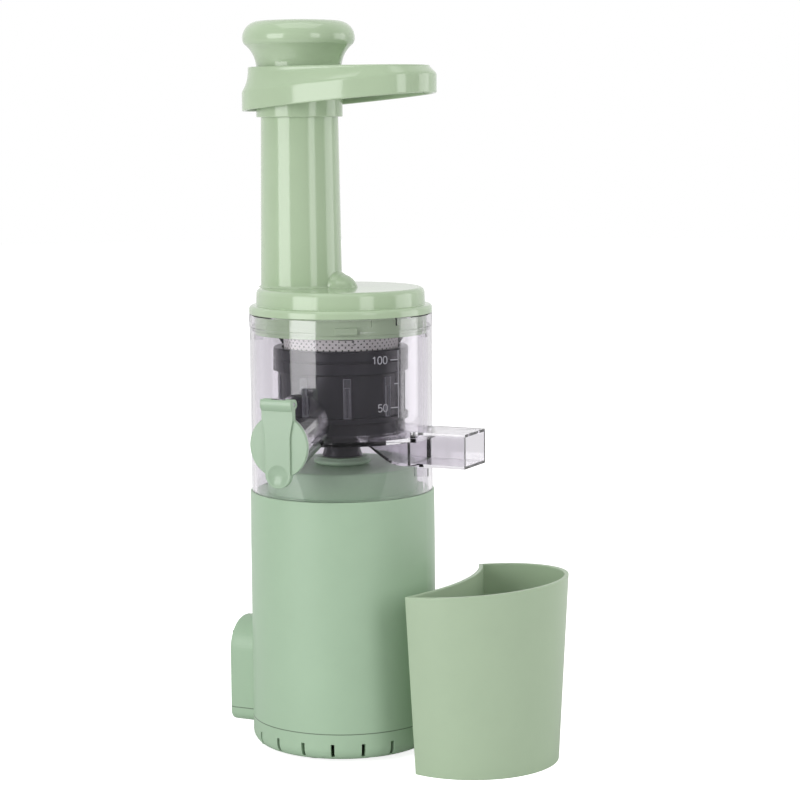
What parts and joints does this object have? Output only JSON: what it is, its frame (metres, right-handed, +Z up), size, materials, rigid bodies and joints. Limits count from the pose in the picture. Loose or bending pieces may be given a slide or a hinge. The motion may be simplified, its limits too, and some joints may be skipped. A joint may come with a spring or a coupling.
{
  "type": "slow juicer",
  "caption": "Upright slow juicer with a motor base, clear bowl with strainer and auger, lid with feed tube, hopper tray, pusher, spout flap and a crescent pulp container.",
  "frame": {"origin": "the juicer's vertical axis at the table it stands on", "axes": "+Z up, +X towards the pulp chute and container, -Y towards the juice spout"},
  "size_m": [0.1996, 0.1309, 0.4055],
  "materials": {
    "sage_satin": "satin moulded ABS, sage green",
    "sage_gloss": "glossy moulded ABS, sage green",
    "mint_gloss": "glossy moulded plastic, light mint",
    "clear": "clear moulded copolyester",
    "charcoal": "charcoal moulded plastic",
    "black": "black moulded plastic",
    "white": "natural acetal",
    "rubber": "dark rubber",
    "silicone": "pale silicone",
    "steel": "steel",
    "brass": "sintered bronze",
    "copper": "copper",
    "magnet": "ferrite",
    "board": "circuit board with parts"
  },
  "bodies": {
    "base": {"upper_housing": "sage_satin", "bottom_cover": "sage_satin", "rubber_feet": "rubber", "cover_screws": "steel", "drive_collar": "sage_satin", "drive_seal": "rubber", "gearbox_case": "white", "gearbox_cover": "white", "gearbox_screws": "steel", "mount_screws": "steel", "motor_screws": "steel", "layshaft_pin": "steel", "output_bearing": "steel", "motor_can": "steel", "motor_cap": "black", "motor_magnets": "magnet", "motor_bearings": "brass", "motor_carbons": "black", "control_board": "board", "switch_frame": "black", "cord_gland": "rubber"},
    "rocker": {"rocker_switch": "black"},
    "rotor": {"motor_shaft": "steel", "armature": "copper", "commutator": "copper", "motor_pinion": "brass"},
    "layshaft": {"first_gear": "white"},
    "output": {"output_gear": "white", "drive_shaft": "steel"},
    "bowl": {"juicing_bowl": "clear", "bowl_gland": "charcoal", "strainer_frame": "charcoal", "strainer_mesh": "steel", "idler_pin": "steel"},
    "screw": {"auger": "charcoal", "auger_pin": "steel"},
    "idler": {"brush_idler": "white"},
    "brush": {"brush_holder": "charcoal", "brush_wipers": "silicone"},
    "lid": {"lid": "sage_gloss", "lid_bush": "white"},
    "tray": {"hopper_tray": "sage_gloss"},
    "pusher": {"pusher_stem": "sage_gloss", "pusher_knob": "sage_gloss"},
    "flap": {"juice_flap": "mint_gloss", "flap_seal": "silicone", "flap_pin": "steel"},
    "container": {"pulp_container": "sage_satin"}
  },
  "joints": [
    {"name": "output_spin", "type": "hinge", "parent": "base", "child": "output", "pos_m": [0, 0, 0.13], "axis": [0, 0, 1], "continuous": true},
    {"name": "layshaft_spin", "type": "hinge", "parent": "base", "child": "layshaft", "pos_m": [0.02772, 0, 0.1], "axis": [0, 0, 1], "continuous": true},
    {"name": "motor_spin", "type": "hinge", "parent": "base", "child": "rotor", "pos_m": [0.00858, 0, 0.06], "axis": [0, 0, 1], "continuous": true},
    {"name": "switch_tilt", "type": "hinge", "parent": "base", "child": "rocker", "pos_m": [-0.061, 0, 0.046], "axis": [0, 1, 0], "range_deg": [-10, 10]},
    {"name": "bowl_lift", "type": "slide", "parent": "base", "child": "bowl", "axis": [0, 0, 1], "range_m": [0, 0.06]},
    {"name": "auger_spin", "type": "hinge", "parent": "bowl", "child": "screw", "pos_m": [0, 0, 0.21], "axis": [0, 0, 1], "continuous": true},
    {"name": "idler_spin", "type": "hinge", "parent": "bowl", "child": "idler", "pos_m": [-0.021, 0, 0.181], "axis": [0, 0, 1], "continuous": true},
    {"name": "brush_spin", "type": "hinge", "parent": "bowl", "child": "brush", "pos_m": [0, 0, 0.2], "axis": [0, 0, 1], "continuous": true},
    {"name": "lid_twist", "type": "hinge", "parent": "bowl", "child": "lid", "pos_m": [0, 0, 0.25], "axis": [0, 0, 1], "range_deg": [0, 25]},
    {"name": "tray_lift", "type": "slide", "parent": "lid", "child": "tray", "axis": [0, 0, 1], "range_m": [0, 0.03]},
    {"name": "pusher_lift", "type": "slide", "parent": "tray", "child": "pusher", "axis": [0, 0, 1], "range_m": [0, 0.125]},
    {"name": "flap_swing", "type": "hinge", "parent": "bowl", "child": "flap", "pos_m": [0, -0.0735, 0.2015], "axis": [-1, 0, 0], "range_deg": [0, 100]},
    {"name": "container_slide", "type": "slide", "parent": "base", "child": "container", "axis": [1, 0, 0], "range_m": [-0.018, 0.08]}
  ],
  "couplings": [
    {"joint": "layshaft_spin", "follows": "output_spin", "ratio": -6},
    {"joint": "motor_spin", "follows": "output_spin", "ratio": 30},
    {"joint": "auger_spin", "follows": "output_spin", "ratio": 1},
    {"joint": "idler_spin", "follows": "output_spin", "ratio": -1.3333},
    {"joint": "brush_spin", "follows": "output_spin", "ratio": -0.4}
  ]
}
